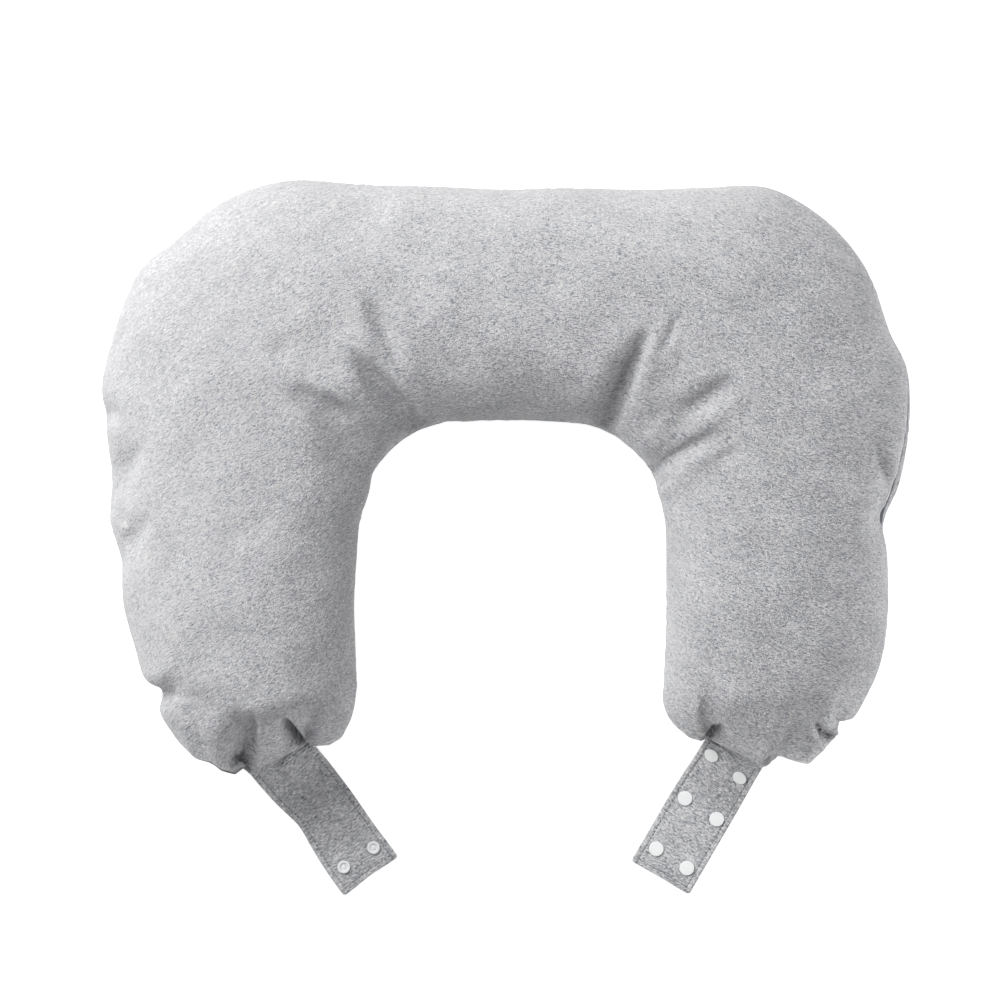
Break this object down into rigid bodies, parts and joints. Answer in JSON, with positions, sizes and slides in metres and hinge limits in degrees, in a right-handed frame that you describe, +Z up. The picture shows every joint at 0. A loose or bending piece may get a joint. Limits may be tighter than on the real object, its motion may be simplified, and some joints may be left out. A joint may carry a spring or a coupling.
{
  "type": "inflatable nursing pillow",
  "caption": "U-shaped air-filled nursing pillow in a heather gray knit cover, lying face up, with short snap straps sewn into the ends of its arms.",
  "frame": {"origin": "on the surface the pillow lies on, under the middle of its outline with the straps", "axes": "+X to the right across both arms, +Y away from the arm ends towards the closed side of the U, +Z up out of the pillow's face"},
  "size_m": [0.6806, 0.6047, 0.1529],
  "materials": {
    "cover_cloth": "heather jersey knit, matte",
    "strap_cloth": "double heather jersey, edge stitched, matte",
    "snap_plastic": "smooth white moulded plastic"
  },
  "bodies": {
    "root": {"cover": "cover_cloth", "strap_left": "strap_cloth", "strap_right": "strap_cloth", "socket_left_1": "snap_plastic", "socket_left_2": "snap_plastic", "cap_left_1": "snap_plastic", "cap_left_2": "snap_plastic", "cap_right_1": "snap_plastic", "cap_right_2": "snap_plastic", "cap_right_3": "snap_plastic", "cap_right_4": "snap_plastic", "cap_right_5": "snap_plastic", "cap_right_6": "snap_plastic", "stud_right_1": "snap_plastic", "stud_right_2": "snap_plastic", "stud_right_3": "snap_plastic", "stud_right_4": "snap_plastic", "stud_right_5": "snap_plastic", "stud_right_6": "snap_plastic"}
  },
  "joints": []
}
